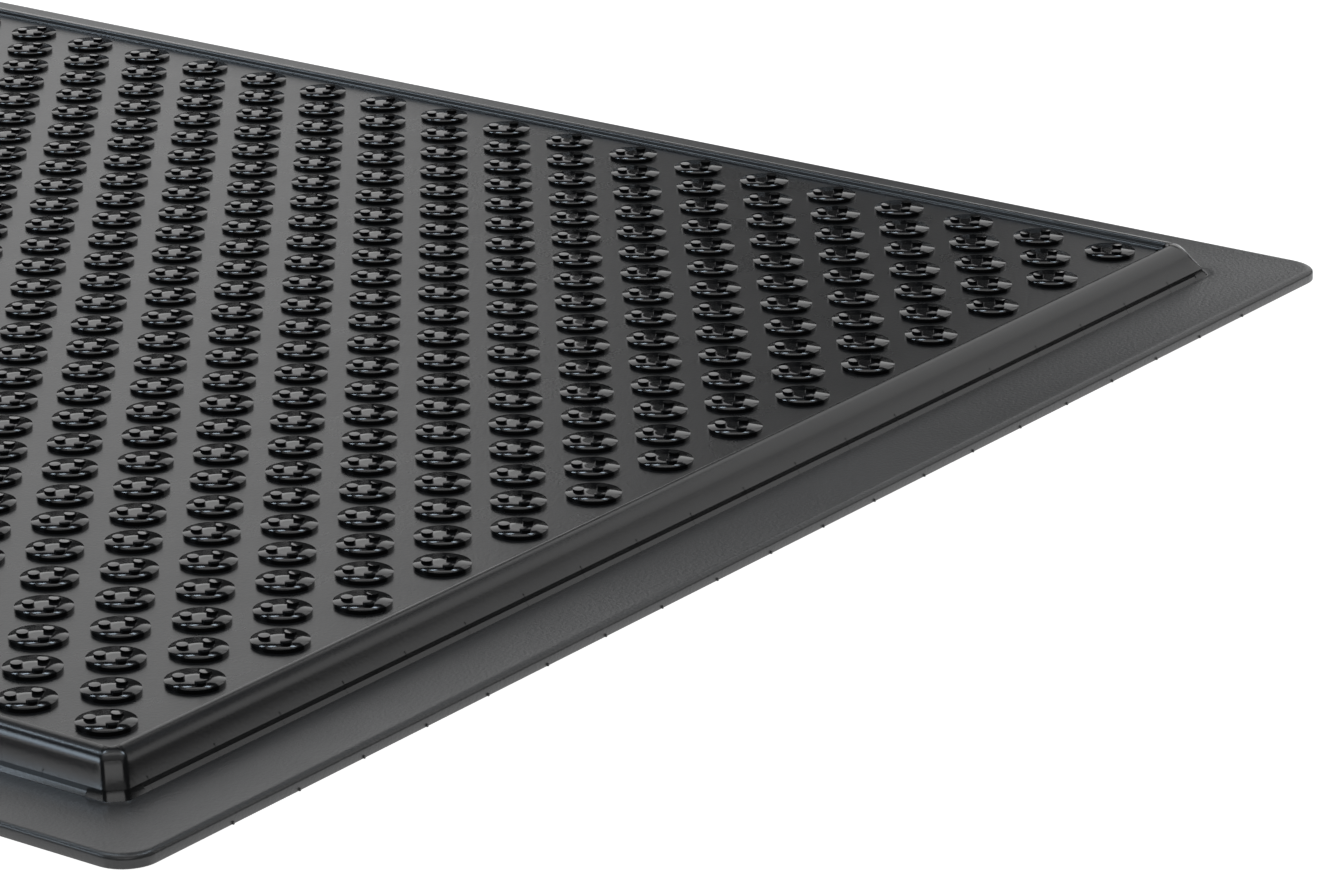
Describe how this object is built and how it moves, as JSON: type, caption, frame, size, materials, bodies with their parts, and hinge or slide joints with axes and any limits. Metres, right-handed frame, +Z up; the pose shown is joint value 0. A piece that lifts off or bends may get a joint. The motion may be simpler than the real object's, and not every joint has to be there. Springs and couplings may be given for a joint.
{
  "type": "door mat",
  "caption": "Rectangular black rubber entrance mat: a shallow well of staggered round studs inside a low raised rim with a sloping wall and a thin flat outer flange.",
  "frame": {"origin": "on the ground under the middle of the mat", "axes": "+Z up, away from the ground; X across the mat, its short way; Y along the mat, its long way"},
  "size_m": [0.6, 0.8926, 0.0135],
  "materials": {
    "rubber": "moulded black rubber, semi-gloss, with fine grain and a polished sheen on the studs"
  },
  "bodies": {
    "root": {"flange_front": "rubber", "flange_right": "rubber", "flange_back": "rubber", "flange_left": "rubber", "wall_front": "rubber", "wall_right": "rubber", "wall_back": "rubber", "wall_left": "rubber", "stud_strip_01": "rubber", "stud_strip_02": "rubber", "stud_strip_03": "rubber", "stud_strip_04": "rubber", "stud_strip_05": "rubber", "stud_strip_06": "rubber", "stud_strip_07": "rubber", "stud_strip_08": "rubber", "stud_strip_09": "rubber", "stud_strip_10": "rubber", "stud_strip_11": "rubber", "stud_strip_12": "rubber", "stud_strip_13": "rubber", "stud_strip_14": "rubber", "stud_strip_15": "rubber", "stud_strip_16": "rubber", "stud_strip_17": "rubber", "stud_strip_18": "rubber", "stud_strip_19": "rubber", "stud_strip_20": "rubber", "stud_strip_21": "rubber", "stud_strip_22": "rubber", "stud_strip_23": "rubber", "stud_strip_24": "rubber", "stud_strip_25": "rubber", "stud_strip_26": "rubber", "stud_strip_27": "rubber", "stud_strip_28": "rubber", "stud_strip_29": "rubber"}
  },
  "joints": []
}
